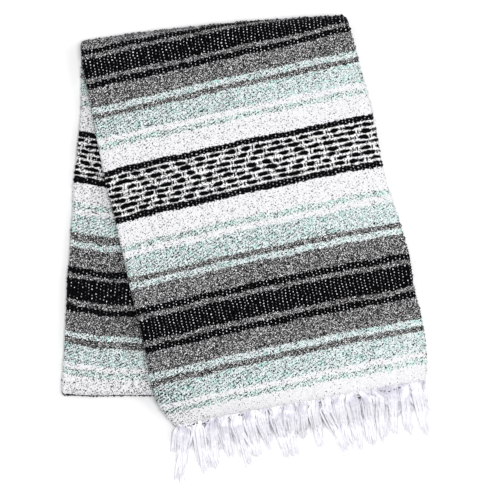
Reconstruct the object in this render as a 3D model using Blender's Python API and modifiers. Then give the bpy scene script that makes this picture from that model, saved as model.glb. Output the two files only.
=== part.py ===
"""A Mexican serape (falsa blanket), folded and laid flat. Metres, +Z up.

The blanket is folded to a quarter of its width, its two fringed ends are brought together, and
the long pack is folded once more across. The rear flap lies on the surface, and the front flap
lies over it a little askew, so that it passes the rear flap's right side and its bottom fold and
sinks to the surface there. Each flap is eight layers of cloth. The layer that shows is a wall of
its own, and the hidden layers are one folded solid with rounded, layered edges.

Sizes are in millimetres and become metres where a point is placed. "across" runs from 0 at a
flap's left side to 1 at its right side, and "depth" is measured through a flap's layers, from the
side that the flaps turn to each other to their outer side.
"""
import math
from functools import partial

import bmesh
import bpy
import numpy as np
from mathutils import Vector

MM = 0.001

# Cloth
CLOTH = 2.0  # one layer
FLAP_LAYERS = 8
STACK = CLOTH * FLAP_LAYERS  # a flap's height
GAP = 0.3  # between neighbouring pieces
WIDTH = 317.5  # a quarter of the blanket's width
ROUND = 4.0  # radius of a side fold, which holds four layers
INNER_DEPTH = STACK - CLOTH - GAP  # the hidden layers end here, below the wall

# The front flap: a section for each stripe that was measured, and its distance from the hem
FRONT_COLUMNS = ("key", "left_x", "left_y", "right_x", "right_y", "bow")
FRONT_SECTIONS = (
    (0.0, -85.5, -208.5, 208.5, -157.0, 1.5),
    (29.0, -102.5, -184.0, 208.5, -120.0, 2.5),
    (97.5, -120.5, -116.0, 197.0, -54.5, 3.0),
    (142.5, -130.0, -74.0, 188.5, -10.0, 3.0),
    (253.0, -154.5, 31.5, 157.0, 100.0, 2.3),
    (309.0, -167.0, 86.5, 146.0, 154.0, 2.0),
    (414.5, -187.5, 190.0, 119.5, 256.0, 0.0),
    (467.0, -196.5, 242.0, 108.0, 307.0, 0.0),
)

# The rear flap: a section for each fraction of the way down from the top fold
REAR_COLUMNS = ("key", "left_x", "left_y", "right_x", "right_y")
REAR_SECTIONS = (
    (0.20, -195.0, 163.5, 112.5, 190.0),
    (0.38, -202.0, 85.5, 110.0, 106.0),
    (0.68, -210.0, -37.0, 105.0, -26.0),
    (1.00, -217.0, -162.5, 100.0, -158.5),
)
BOTTOM_BOW = 2.5

# The top fold runs aslant across the stripes
FOLD_LEFT, FOLD_RIGHT = 467.0, 431.0  # from the hem, at either side
FOLD_BULGE = 4.6
FOLD_OUT = 14.0  # how far it stands out past its axis
FOLD_AXIS = STACK + GAP / 2
FOLD_FLATTENING = FOLD_OUT / FOLD_AXIS
FOLD_EASE = 0.5  # the hidden layers keep this much further in at the middle of the fold
CROTCH = 1.2  # least depth of the hidden layers inside the top fold
FOLD_COVER_ANGLE = -64.0  # the hidden layers make room for the wall above this angle
FOLD_ANGLES = (-85, -68, -60, -42, -21, 0, 21, 45, 70)
FOLD_WALL_ANGLES = (90, 70, 45, 21, 0, -21, -42, -58)

# The bottom fold
BOTTOM_ROUND = STACK / 2
BOTTOM_WALL_ANGLES = (65, 40, 15, -10, -32, -50)
NOSE_COLUMNS = ("out", "low", "high", "inset")
NOSE_SECTIONS = (
    (5.4, 6.8, 9.2, 4.4),
    (4.8, 5.2, 10.8, 3.8),
    (3.1, 4.0, 12.5, 3.0),
    (2.9, 0.0, 12.6, 2.9),
    (2.0, 0.0, 13.1, 2.7),
    (0.0, 0.0, INNER_DEPTH, 2.6),
)
NOSE_CORNER = 2.0  # how much further in its skins start

# Rows along each flap, as shares of its length. The front flap's crowd where it passes the
# bottom fold.
FRONT_ROWS = (0.985, 0.95, *np.linspace(0.88, 0.22, 9), *np.linspace(0.155, 0.0, 9))
REAR_ROWS = (0.998, *np.linspace(0.93, 0.02, 8))
REAR_WALL_ROWS = (0.035, *np.linspace(0.15, 0.93, 7), 1.0)

# Where the front flap passes the rear one, it sinks to the surface: (starts after, takes)
SINK_RIGHT = (18.0, 50.0)
SINK_BOTTOM = (1.0, 42.0)
SINK_EASE = 0.22  # the hidden layers keep further in where the flap slopes

# Side outlines: (in from the side, depth)
LEFT_BARE = (
    (2.5, 16.0), (0.7, 15.0), (0.1, 13.5), (0.0, 12.0), (0.05, 11.3), (0.6, 9.8), (2.2, 8.0),
    (0.6, 6.2), (0.05, 4.7), (0.0, 4.0), (0.1, 2.5), (0.7, 1.0), (2.5, 0.0),
)
LEFT_COVERED = ((4.3, 13.7), (3.4, 13.0), (2.8, 12.2), (2.8, 11.4), (0.05, 11.1))
RIGHT_BARE = (
    (2.4, 16.0), (1.2, 15.2), (1.0, 13.6), (2.6, 12.6), (1.4, 11.4), (0.8, 9.6), (2.9, 8.0),
    (1.6, 6.6), (1.0, 5.2), (2.6, 4.0), (0.6, 2.8), (0.9, 1.0), (2.4, 0.0),
)
RIGHT_COVERED = ((3.8, 13.7), (2.0, 13.2), (1.5, 12.4), (2.4, 11.9), (1.4, 11.0))
WALL_LEFT = ((0.0, 12.0), (0.1, 13.0), (0.65, 14.2), (2.0, 15.46), (4.0, 16.0))
WALL_RIGHT = ((3.0, 16.0), (0.0, 15.6))
COLUMNS = np.linspace(0.0, 1.0, 14)[1:-1]

# Fringe
TASSELS = 19
HEAD_WIDTH = 7.5
HEAD_LENGTH = 5.0
HEAD_STEPS = ((0.45, 1.06), (0.55, 0.9))  # (share of its length, section against the last one)
HEAD_DROP = 1.0
STRIP_DEPTH = 3.0
STRAND_STEPS = ((0.72, 0.58), (1.0, 0.86), (1.0, 0.84))  # (share of the drop left, section)
TASSEL_COLUMNS = ("length", "swing")
TASSEL_ROWS = (
    (67, -5), (56, 9), (48, 7), (57, 16), (48, 17), (53, 15), (61, 8), (62, 3), (52, 8), (54, 14),
    (60, 21), (60, 15), (62, 10), (66, 8), (66, 9), (68, 5), (59, 8), (60, 7), (65, 15),
)

# Each end's fringe: strands side by side in a head, the strip's levels above the flap's underside,
# the heights at which its rows of strands lie, and how far a tassel opens on its way
FRONT_END = {"columns": 3, "levels": (8.8, 11.6, 14.4), "lie": (3.4, 5.5), "spread": 0.5}
BACK_END = {"columns": 2, "levels": (2.2, 5.2), "lie": (1.35,), "spread": 1.0}


def table(columns, rows):
    """A short table as named columns."""
    return {name: np.array(values, float) for name, values in zip(columns, zip(*rows))}


FRONT = table(FRONT_COLUMNS, FRONT_SECTIONS)
TASSEL = table(TASSEL_COLUMNS, TASSEL_ROWS)


def along(sections, column, key):
    """A column's value at a key, on a smooth curve through the sections."""
    keys, values = sections["key"], sections[column]
    slopes = np.gradient(values, keys)
    i = int(np.clip(np.searchsorted(keys, key) - 1, 0, len(keys) - 2))
    span = keys[i + 1] - keys[i]
    t = (key - keys[i]) / span
    start = (1 + 2 * t) * (1 - t) ** 2 * values[i] + t * (1 - t) ** 2 * span * slopes[i]
    end = t * t * (3 - 2 * t) * values[i + 1] + t * t * (t - 1) * span * slopes[i + 1]
    return start + end


def between_sides(sections, across, key):
    """The point in plan at a fraction of the way between the left side and the right side."""
    left = np.array([along(sections, "left_x", key), along(sections, "left_y", key)])
    right = np.array([along(sections, "right_x", key), along(sections, "right_y", key)])
    return left + (right - left) * across


def bowed(across):
    """0 at both sides and 1 in the middle."""
    return 4 * across * (1 - across)


def front_plan(across, hem):
    """A point of the front flap in plan, at a distance from the hem."""
    left, right = between_sides(FRONT, 0.0, hem), between_sides(FRONT, 1.0, hem)
    chord = (right - left) / np.linalg.norm(right - left)
    up = np.array([-chord[1], chord[0]])
    point = left + (right - left) * across
    return point + up * along(FRONT, "bow", hem) * bowed(across)


def fold_reach(across):
    """How far the top fold lies from the hem."""
    straight = FOLD_LEFT + (FOLD_RIGHT - FOLD_LEFT) * across
    return straight + FOLD_BULGE * bowed(across)


def fold_axis(across):
    """The axis of the top fold in plan."""
    return front_plan(across, fold_reach(across) - FOLD_OUT)


AXIS_LEFT, AXIS_RIGHT = fold_axis(0.0), fold_axis(1.0)
AXIS_RUN = (AXIS_RIGHT - AXIS_LEFT) / np.linalg.norm(AXIS_RIGHT - AXIS_LEFT)
FOLD_WAY = np.array([-AXIS_RUN[1], AXIS_RUN[0]])
REAR = table(REAR_COLUMNS, ((0.0, *AXIS_LEFT, *AXIS_RIGHT), *REAR_SECTIONS))


def rear_plan(across, down):
    """A point of the rear flap in plan, at a fraction of the way down from the top fold."""
    chord = AXIS_LEFT + (AXIS_RIGHT - AXIS_LEFT) * across
    fold_bow = (fold_axis(across) - chord) * (1 - down) ** 2
    bottom_bow = np.array([0.0, -BOTTOM_BOW * bowed(across) * down**2])
    return between_sides(REAR, across, down) + fold_bow + bottom_bow


BOTTOM_LEFT, BOTTOM_RIGHT = rear_plan(0.0, 1.0), rear_plan(1.0, 1.0)
BOTTOM_RUN = (BOTTOM_RIGHT - BOTTOM_LEFT) / np.linalg.norm(BOTTOM_RIGHT - BOTTOM_LEFT)
BOTTOM_WAY = np.array([BOTTOM_RUN[1], -BOTTOM_RUN[0]])
RIGHT_RUN = (BOTTOM_RIGHT - AXIS_RIGHT) / np.linalg.norm(BOTTOM_RIGHT - AXIS_RIGHT)
RIGHT_WAY = np.array([-RIGHT_RUN[1], RIGHT_RUN[0]])


def sunk(point):
    """How far a point of the front flap has sunk past the rear flap's edges, from 0 to 1."""
    past_right = float(np.dot(point - AXIS_RIGHT, RIGHT_WAY))
    past_bottom = float(np.dot(point - BOTTOM_LEFT, BOTTOM_WAY)) - BOTTOM_ROUND
    past = math.hypot(
        max(past_right - SINK_RIGHT[0], 0.0) / SINK_RIGHT[1],
        max(past_bottom - SINK_BOTTOM[0], 0.0) / SINK_BOTTOM[1])
    return min(past, 1.0)


def rest_height(point):
    """Height of the front flap's underside, on the rear flap or beyond it."""
    past = sunk(point)
    return (STACK + GAP) * (1 - past * past * (3 - 2 * past))


def world(plan, height):
    """A point in metres."""
    return (plan[0] * MM, plan[1] * MM, height * MM)


def front_point(share, across, depth):
    """A point in the front flap, a share of the way from its hem to its fold."""
    plan = front_plan(across, (fold_reach(across) - FOLD_OUT) * share)
    return world(plan, rest_height(plan) + depth)


def fold_point(angle, across, depth):
    """A point in the top fold, from -90 degrees at the surface to 90 on top."""
    radius = GAP / 2 + depth
    turn = math.radians(angle)
    out = radius * FOLD_FLATTENING * math.cos(turn)
    return world(fold_axis(across) + FOLD_WAY * out, FOLD_AXIS + radius * math.sin(turn))


def rear_point(down, across, depth):
    """A point in the rear flap, whose outer side is its underside."""
    return world(rear_plan(across, down), STACK - depth)


def bottom_point(angle, across, depth):
    """A point in the bottom fold, where depth is counted from its outside."""
    radius = BOTTOM_ROUND - depth
    turn = math.radians(angle)
    plan = rear_plan(across, 1.0) + BOTTOM_WAY * radius * math.cos(turn)
    return world(plan, BOTTOM_ROUND + radius * math.sin(turn))


def turned_over(outline):
    """A side outline with its outer and inner sides exchanged."""
    return tuple((inset, STACK - depth) for inset, depth in reversed(outline))


def covered(bare, cover):
    """A side outline that makes room for the wall on its outer side."""
    return (*cover, *bare[len(cover):])


def layered_loop(place, left, right):
    """A closed loop round the hidden layers: left side, inner skin, right side, outer skin."""
    inner = [place(u, left[-1][1]) for u in COLUMNS]
    outer = [place(u, left[0][1]) for u in COLUMNS]
    left_side = [place(inset / WIDTH, depth) for inset, depth in left]
    right_side = [place(1 - inset / WIDTH, depth) for inset, depth in reversed(right)]
    return [*left_side, *inner, *right_side, *reversed(outer)]


def close_end(mesh, loop, sides, turned):
    """Closes an end of the hidden layers, in strips from the inner skin to the outer one."""
    columns = len(COLUMNS)
    inner = loop[sides:sides + columns]
    outer = loop[2 * sides + columns:][::-1]
    faces = [[*loop[:sides], inner[0], outer[0]]]
    faces += [[outer[i], inner[i], inner[i + 1], outer[i + 1]] for i in range(columns - 1)]
    faces.append([inner[-1], *loop[sides + columns:2 * sides + columns], outer[-1]])
    for face in faces:
        mesh.faces.new(face[::-1] if turned else face)


def finish(name, mesh, colour, roughness):
    """Makes an object of a mesh, with its own material, in the serape's collection."""
    bmesh.ops.recalc_face_normals(mesh, faces=mesh.faces)
    data = bpy.data.meshes.new(name)
    mesh.to_mesh(data)
    mesh.free()
    data.shade_smooth()
    material = bpy.data.materials.new(name)
    material.use_nodes = True
    shader = material.node_tree.nodes["Principled BSDF"]
    shader.inputs["Base Color"].default_value = (*colour, 1.0)
    shader.inputs["Roughness"].default_value = roughness
    shader.inputs["Metallic"].default_value = 0.0
    material.diffuse_color = (*colour, 1.0)
    data.materials.append(material)
    piece = bpy.data.objects.new(name, data)
    SERAPE.objects.link(piece)
    piece.parent = ORIGIN
    return piece


def hidden_front_point(share, across, depth):
    """A point of the hidden layers in the front flap, kept further in where it slopes."""
    past = sunk(front_plan(across, (fold_reach(across) - FOLD_OUT) * share))
    ease = SINK_EASE * 6 * past * (1 - past) if depth > STACK / 2 else 0.0
    return front_point(share, across, depth - ease)


def hidden_fold_point(angle, across, depth):
    """A point of the hidden layers in the top fold."""
    under_wall = angle > FOLD_COVER_ANGLE and depth > STACK / 2
    ease = FOLD_EASE * math.cos(math.radians(angle)) if under_wall else 0.0
    return fold_point(angle, across, max(depth, CROTCH) - ease)


def nose_point(section, across, depth):
    """A point of the hidden layers in the bottom fold."""
    height = section["low"] + (section["high"] - section["low"]) * (STACK - depth) / INNER_DEPTH
    return world(rear_plan(across, 1.0) + BOTTOM_WAY * section["out"], height)


def nose_side(section, depth):
    """How far in from the side a point of the bottom fold's hidden layers is."""
    from_middle = 2 * (STACK - depth) / INNER_DEPTH - 1
    return section["inset"] + NOSE_CORNER * from_middle**2


def hidden_layers():
    """The layers that don't show, as one solid folded at the top."""
    left_front, right_front = covered(LEFT_BARE, LEFT_COVERED), covered(RIGHT_BARE, RIGHT_COVERED)
    left_rear = turned_over(covered(turned_over(LEFT_BARE), LEFT_COVERED))
    right_rear = turned_over(covered(turned_over(RIGHT_BARE), RIGHT_COVERED))
    loops = []
    for row in NOSE_SECTIONS:
        section = dict(zip(NOSE_COLUMNS, row))
        side = [(nose_side(section, depth), depth) for _, depth in left_rear]
        loops.append(layered_loop(partial(nose_point, section), side, side))
    for down in REAR_ROWS:
        loops.append(layered_loop(partial(rear_point, down), left_rear, right_rear))
    for angle in FOLD_ANGLES:
        bare = angle < FOLD_COVER_ANGLE
        left, right = (LEFT_BARE, RIGHT_BARE) if bare else (left_front, right_front)
        loops.append(layered_loop(partial(hidden_fold_point, angle), left, right))
    for share in FRONT_ROWS:
        loops.append(layered_loop(partial(hidden_front_point, share), left_front, right_front))

    mesh = bmesh.new()
    rings = [[mesh.verts.new(point) for point in loop] for loop in loops]
    for ring, following in zip(rings, rings[1:]):
        for i in range(len(ring)):
            j = (i + 1) % len(ring)
            mesh.faces.new((ring[i], ring[j], following[j], following[i]))
    sides = len(LEFT_BARE)
    close_end(mesh, rings[0], sides, turned=True)
    close_end(mesh, rings[-1], sides, turned=False)
    finish("folded_layers", mesh, (0.62, 0.64, 0.64), 0.95)


def wall(name, rows, outline, colour):
    """A single layer of cloth, thickened inwards from the surface that shows."""
    mesh = bmesh.new()
    grid = [[mesh.verts.new(place(across, depth)) for across, depth in outline] for place in rows]
    for row, following in zip(grid, grid[1:]):
        for i in range(len(row) - 1):
            mesh.faces.new((row[i], following[i], following[i + 1], row[i + 1]))
    piece = finish(name, mesh, colour, 0.92)
    thickness = piece.modifiers.new("one layer", "SOLIDIFY")
    thickness.thickness = CLOTH * MM
    thickness.offset = -1.0
    thickness.use_even_offset = True


def wall_outline():
    """The wall's outer surface from its left side to its right one: (across, depth)."""
    left = [(inset / WIDTH, depth) for inset, depth in WALL_LEFT]
    right = [(1 - inset / WIDTH, depth) for inset, depth in WALL_RIGHT]
    return [*left, *((across, STACK) for across in COLUMNS), *right]


def front_cloth():
    """The layer that shows on the front flap, from the hem to the top fold and down round it."""
    rows = [partial(front_point, share) for share in reversed(FRONT_ROWS)]
    rows += [partial(fold_point, angle) for angle in FOLD_WALL_ANGLES]
    wall("front_cloth", rows, wall_outline(), (0.45, 0.62, 0.56))


def rear_cloth():
    """The layer that shows on the rear flap, from inside the top fold to round the bottom one."""
    outline = [(across, STACK - depth) for across, depth in wall_outline()]
    rows = [partial(rear_point, down) for down in REAR_WALL_ROWS]
    rows += [partial(bottom_point, angle) for angle in BOTTOM_WALL_ANGLES]
    wall("rear_cloth", rows, outline, (0.30, 0.42, 0.40))


def hem_frame(across):
    """The hem's point in plan, and the way out of it."""
    run = front_plan(across + 0.004, 0.0) - front_plan(across - 0.004, 0.0)
    return front_plan(across, 0.0), np.array([run[1], -run[0]]) / np.linalg.norm(run)


def head_stations(columns):
    """Places across the hem: each head's strands, then the gap to the next head."""
    pitch = (WIDTH - 2 * ROUND) / TASSELS
    stations, heads = [ROUND / WIDTH], []
    for tassel in range(TASSELS):
        start = ROUND + pitch * tassel + (pitch - HEAD_WIDTH) / 2
        heads.append(len(stations))
        stations += [(start + HEAD_WIDTH * i / columns) / WIDTH for i in range(columns + 1)]
    stations.append(1 - ROUND / WIDTH)
    return stations, heads


def fringe(name, end):
    """A fringe: a strip along the hem, a head for each tassel and strands from each head."""
    mesh = bmesh.new()
    levels = end["levels"]
    stations, heads = head_stations(end["columns"])
    rings = []
    for across in stations:
        here, out = hem_frame(across)
        base = rest_height(here)
        back, front = here + out * GAP, here + out * (GAP + STRIP_DEPTH)
        loop = [world(back, base + levels[0]), *(world(front, base + level) for level in levels)]
        loop.append(world(back, base + levels[-1]))
        rings.append([mesh.verts.new(point) for point in loop])
    cells = {}
    for station, (ring, following) in enumerate(zip(rings, rings[1:])):
        for i in range(len(ring)):
            j = (i + 1) % len(ring)
            face = mesh.faces.new((ring[i], following[i], following[j], ring[j]))
            if 1 <= i < len(levels):
                cells[station, i - 1] = face
    mesh.faces.new(rings[0])
    mesh.faces.new(rings[-1][::-1])
    bmesh.ops.recalc_face_normals(mesh, faces=mesh.faces)
    for tassel, first in enumerate(heads):
        columns, rows = range(end["columns"]), range(len(levels) - 1)
        block = [[cells[first + column, row] for column in columns] for row in rows]
        grow_tassel(mesh, tassel, stations[first] + HEAD_WIDTH / WIDTH / 2, block, end)
    finish(name, mesh, (0.85, 0.84, 0.88), 0.9)


def moved(faces, way, height, scale):
    """Scales faces about their common middle, then moves them in plan and in height."""
    corners = {corner for face in faces for corner in face.verts}
    middle = sum((corner.co for corner in corners), start=Vector()) / len(corners)
    for corner in corners:
        corner.co = middle + (corner.co - middle) * scale
        corner.co += Vector((way[0], way[1], height)) * MM


def grow_tassel(mesh, tassel, across, block, end):
    """Grows a head from a block of the strip's cells, and a strand from each cell."""
    _, out = hem_frame(across)
    cells = [cell for row in block for cell in row]
    for share, size in HEAD_STEPS:
        grown = bmesh.ops.extrude_face_region(mesh, geom=cells)["geom"]
        bmesh.ops.delete(mesh, geom=cells, context="FACES_ONLY")
        cells = [item for item in grown if isinstance(item, bmesh.types.BMFace)]
        moved(cells, out * HEAD_LENGTH * share, -HEAD_DROP * share, size)
    cells.sort(key=lambda cell: cell.calc_center_median().z)
    middle = np.mean([cell.calc_center_median()[:2] for cell in cells], axis=0) / MM
    swing = math.radians(TASSEL["swing"][tassel])
    fall = np.array([math.sin(swing), -math.cos(swing)])
    aside = np.array([math.cos(swing), math.sin(swing)])
    length = TASSEL["length"][tassel] - HEAD_LENGTH - STRIP_DEPTH
    for order, cell in enumerate(cells):
        lie = end["lie"][order // end["columns"]]
        off = float(np.dot(np.array(cell.calc_center_median()[:2]) / MM - middle, aside))
        for step, (drop, size) in enumerate(STRAND_STEPS):
            cell = bmesh.ops.extrude_discrete_faces(mesh, faces=[cell])["faces"][0]
            share = (step + 1) / len(STRAND_STEPS)
            now = np.array(cell.calc_center_median()) / MM
            goal = middle + fall * length * share + aside * off * (1 + end["spread"] * share)
            moved([cell], goal - now[:2], (lie - now[2]) * drop, size)


for leftover in list(bpy.data.objects):
    bpy.data.objects.remove(leftover, do_unlink=True)
SERAPE = bpy.data.collections.new("mexican_serape")
bpy.context.scene.collection.children.link(SERAPE)
ORIGIN = bpy.data.objects.new("serape_origin", None)
SERAPE.objects.link(ORIGIN)

hidden_layers()
front_cloth()
rear_cloth()
fringe("fringe_front_end", FRONT_END)
fringe("fringe_back_end", BACK_END)
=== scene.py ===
"""A Mexican serape (falsa blanket), folded and laid flat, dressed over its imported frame.

The blanket is one woven cloth, 1.27 m wide and 1.758 m long. It is folded to a quarter of its width,
its two fringed ends are brought together, and the long pack is folded once more across. The cloth is
made from that flat cut, layer by layer, as a ribbon that follows the folds. Sizes are in millimetres
and become metres where a mesh is made. "across" is measured from a flap's left side, "below" from
the outer side of the four layers of a pack, and "run" along the cloth from its front hem.
"""
from __future__ import annotations

import logging
import math
from dataclasses import dataclass, field
from enum import Enum

import bpy
import numpy as np
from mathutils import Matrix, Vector

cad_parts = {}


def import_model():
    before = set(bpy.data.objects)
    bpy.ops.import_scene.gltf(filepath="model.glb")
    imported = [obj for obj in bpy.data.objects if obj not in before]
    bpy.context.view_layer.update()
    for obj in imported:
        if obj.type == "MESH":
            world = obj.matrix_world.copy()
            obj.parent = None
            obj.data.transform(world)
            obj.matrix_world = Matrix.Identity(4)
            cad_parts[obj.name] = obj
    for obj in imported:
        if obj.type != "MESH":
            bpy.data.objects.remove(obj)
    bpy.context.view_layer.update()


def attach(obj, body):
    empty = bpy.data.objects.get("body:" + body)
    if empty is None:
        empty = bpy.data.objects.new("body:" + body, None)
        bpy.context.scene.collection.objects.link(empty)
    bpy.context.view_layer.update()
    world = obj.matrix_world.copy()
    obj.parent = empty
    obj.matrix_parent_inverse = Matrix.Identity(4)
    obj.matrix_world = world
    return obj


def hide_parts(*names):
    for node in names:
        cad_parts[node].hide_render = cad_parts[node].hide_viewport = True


LOG = logging.getLogger("serape")
MM = 0.001
Points = np.ndarray
Socket = bpy.types.NodeSocket
Sockets = bpy.types.bpy_prop_collection


class Stage(Enum):
    """The stretches of the folded pack, in the order in which the cloth passes through them."""

    FRONT_TOP = "front flap, outer pack"
    TOP_FOLD = "outside of the top fold"
    REAR_UNDER = "rear flap, outer pack"
    BOTTOM_FOLD = "bottom fold"
    REAR_TOP = "rear flap, inner pack"
    INNER_FOLD = "inside of the top fold"
    FRONT_UNDER = "front flap, inner pack"


def curve(keys: Points, values: Points, key: Points) -> Points:
    """Reads a smooth curve through a few values.

    Args:
        keys: Where the values stand.
        values: The values.
        key: Where the curve is read.

    Returns:
        The curve's values.
    """
    slopes = np.gradient(values, keys)
    i = np.clip(np.searchsorted(keys, key) - 1, 0, len(keys) - 2)
    span = keys[i + 1] - keys[i]
    t = (key - keys[i]) / span
    start = (1 + 2 * t) * (1 - t) ** 2 * values[i] + t * (1 - t) ** 2 * span * slopes[i]
    return start + t * t * (3 - 2 * t) * values[i + 1] + t * t * (t - 1) * span * slopes[i + 1]


def unit(vector: Points) -> Points:
    """A vector, or each of many, at length one."""
    return vector / np.linalg.norm(vector, axis=-1, keepdims=True)


def quarter_turn(vector: Points) -> Points:
    """A vector in plan, turned a quarter to the left."""
    return np.stack([-vector[..., 1], vector[..., 0]], axis=-1)


def bowed(share: Points) -> Points:
    """0 at both sides and 1 in the middle."""
    return 4 * share * (1 - share)


def soft_step(value: Points) -> Points:
    """A smooth step from 0 to 1."""
    held = np.clip(value, 0.0, 1.0)
    return held * held * (3 - 2 * held)


@dataclass
class Flaps:
    """The two flaps' places, from the same sections as the frame's solids, in millimetres."""

    width: float = 317.5
    stack: float = 16.0
    gap: float = 0.3
    front: tuple = (
        (0.0, -85.5, -208.5, 208.5, -157.0, 1.5),
        (29.0, -102.5, -184.0, 208.5, -120.0, 2.5),
        (97.5, -120.5, -116.0, 197.0, -54.5, 3.0),
        (142.5, -130.0, -74.0, 188.5, -10.0, 3.0),
        (253.0, -154.5, 31.5, 157.0, 100.0, 2.3),
        (309.0, -167.0, 86.5, 146.0, 154.0, 2.0),
        (414.5, -187.5, 190.0, 119.5, 256.0, 0.0),
        (467.0, -196.5, 242.0, 108.0, 307.0, 0.0),
    )
    rear: tuple = (
        (0.20, -195.0, 163.5, 112.5, 190.0),
        (0.38, -202.0, 85.5, 110.0, 106.0),
        (0.68, -210.0, -37.0, 105.0, -26.0),
        (1.00, -217.0, -162.5, 100.0, -158.5),
    )
    bottom_bow: float = 2.5
    bottom_full: tuple = (1.25, 1.0)
    fold_left: float = 467.0
    fold_right: float = 431.0
    fold_bulge: float = 4.6
    fold_out: float = 14.0
    corners: tuple = ((5.5, 0.43), (9.0, 0.72))
    sink_right: tuple = (18.0, 50.0)
    sink_bottom: tuple = (1.0, 42.0)
    top_fold_run: float = 47.0
    inner_fold_run: float = 13.0

    def __post_init__(self) -> None:
        """Works out the folds' axes and the ways out of them."""
        self.front_table = np.array(self.front).T
        self.axis_ends = self.fold_axis(np.array([0.0, 1.0]))
        left, right = self.axis_ends
        self.fold_way = quarter_turn(unit(right - left))
        self.rear_table = np.array([(0.0, *left, *right), *self.rear]).T
        bottom_left, bottom_right = self.rear_plan(np.array([0.0, 1.0]), np.array([1.0, 1.0]))
        self.bottom_left = bottom_left
        self.bottom_way = -quarter_turn(unit(bottom_right - bottom_left))
        self.right_way = quarter_turn(unit(bottom_right - right))
        self.axis_height = self.stack + self.gap / 2
        self.flattening = self.fold_out / self.axis_height
        self.rear_lengths = (np.linalg.norm(bottom_left - left), np.linalg.norm(bottom_right - right))

    def front_plan(self, share: Points, hem: Points) -> Points:
        """A point of the front flap in plan.

        Args:
            share: The fraction of the way across.
            hem: The distance from the hem.

        Returns:
            The points' x and y.
        """
        keys, *columns = self.front_table
        left_x, left_y, right_x, right_y, bow = (curve(keys, column, hem) for column in columns)
        left, right = np.stack([left_x, left_y], -1), np.stack([right_x, right_y], -1)
        up = quarter_turn(unit(right - left))
        share, bow = np.asarray(share)[..., None], bow[..., None]
        return left + (right - left) * share + up * bow * bowed(share)

    def reach(self, share: Points) -> Points:
        """How far the top fold lies from the hem."""
        straight = self.fold_left + (self.fold_right - self.fold_left) * share
        return straight + self.fold_bulge * bowed(share)

    def fold_axis(self, share: Points) -> Points:
        """The axis of the top fold in plan."""
        return self.front_plan(share, self.reach(share) - self.fold_out)

    def corner(self, across: Points) -> Points:
        """How the top fold's corners round off.

        Args:
            across: Distances from the left side.

        Returns:
            How much of the fold's depth is left there.
        """
        left = np.clip(1 - across / self.corners[0][0], 0, 1)
        right = np.clip(1 - (self.width - across) / self.corners[1][0], 0, 1)
        rounded = self.corners[0][1] * (1 - np.sqrt(1 - left**2))
        return 1 - rounded - self.corners[1][1] * (1 - np.sqrt(1 - right**2))

    def rear_plan(self, share: Points, down: Points) -> Points:
        """A point of the rear flap in plan.

        Args:
            share: The fraction of the way across.
            down: The fraction of the way down from the top fold.

        Returns:
            The points' x and y.
        """
        keys, *columns = self.rear_table
        left_x, left_y, right_x, right_y = (curve(keys, column, down) for column in columns)
        left, right = np.stack([left_x, left_y], -1), np.stack([right_x, right_y], -1)
        across, fade = np.asarray(share)[..., None], ((1 - down) ** 2)[..., None]
        start, end = self.axis_ends
        bow = (self.fold_axis(share) - (start + (end - start) * across)) * fade
        sag = np.stack([0 * share, -self.bottom_bow * bowed(share) * down**2], -1)
        return left + (right - left) * across + bow + sag

    def rest_height(self, plan: Points) -> Points:
        """Height of the front flap's underside, on the rear flap or beyond its edges.

        Args:
            plan: Points in plan.

        Returns:
            The heights.
        """
        past_right = (plan - self.axis_ends[1]) @ self.right_way - self.sink_right[0]
        past_bottom = (plan - self.bottom_left) @ self.bottom_way - self.stack / 2
        past_bottom -= self.sink_bottom[0]
        past = np.hypot(
            np.maximum(past_right, 0) / self.sink_right[1],
            np.maximum(past_bottom, 0) / self.sink_bottom[1],
        )
        return (self.stack + self.gap) * (1 - soft_step(past))

    def place(self, stage: Stage, share: float, across: Points, below: Points) -> Points:
        """Points of the folded pack.

        Args:
            stage: The stretch that the points are in.
            share: How far through it they are, in the cloth's direction.
            across: Their distances from the left side.
            below: Their depths below the pack's outer side.

        Returns:
            The points, one a row.
        """
        x = across / self.width
        whole = np.ones_like(x)
        deep = self.stack - below
        if stage in (Stage.FRONT_TOP, Stage.FRONT_UNDER):
            way = share if stage is Stage.FRONT_TOP else 1 - share
            plan = self.front_plan(x, (self.reach(x) - self.fold_out) * way)
            rise = deep if stage is Stage.FRONT_TOP else below
            return np.column_stack([plan, self.rest_height(plan) + rise])
        if stage in (Stage.REAR_UNDER, Stage.REAR_TOP):
            way = share if stage is Stage.REAR_UNDER else 1 - share
            height = below if stage is Stage.REAR_UNDER else deep
            return np.column_stack([self.rear_plan(x, whole * way), height])
        turn = math.pi * (share - 0.5)
        if stage is Stage.BOTTOM_FOLD:
            radius = self.stack / 2 - below
            full = radius * math.cos(turn) * np.interp(x, (0, 1), self.bottom_full)
            plan = self.rear_plan(x, whole) + full[:, None] * self.bottom_way
            return np.column_stack([plan, self.stack / 2 + radius * math.sin(turn)])
        if stage is Stage.TOP_FOLD:
            turn, below = -turn, deep
        radius = self.gap / 2 + below
        out = np.outer(radius * self.flattening * math.cos(turn) * self.corner(across), self.fold_way)
        return np.column_stack([self.fold_axis(x) + out, self.axis_height + radius * math.sin(turn)])

    def run(self, stage: Stage, share: float, across: Points, length: float) -> Points:
        """How far along the cloth the points of a row are.

        Args:
            stage: The stretch that the row is in.
            share: How far through it the row is.
            across: The points' distances from the left side.
            length: The whole cloth's length.

        Returns:
            Distances from the front hem.
        """
        x = np.clip(across / self.width, 0, 1)
        left, right = self.rear_lengths
        crest = self.reach(x) - self.fold_out
        rear = left + (right - left) * x
        half, turn = 0 * x + length / 2, math.pi * self.stack / 4
        past_top, inner = crest + self.top_fold_run, half + turn + rear
        marks = [0 * x, crest, past_top, half - turn, half + turn, inner,
                 inner + self.inner_fold_run, 0 * x + length]
        start, end = marks[list(Stage).index(stage):][:2]
        return start + (end - start) * share


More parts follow.
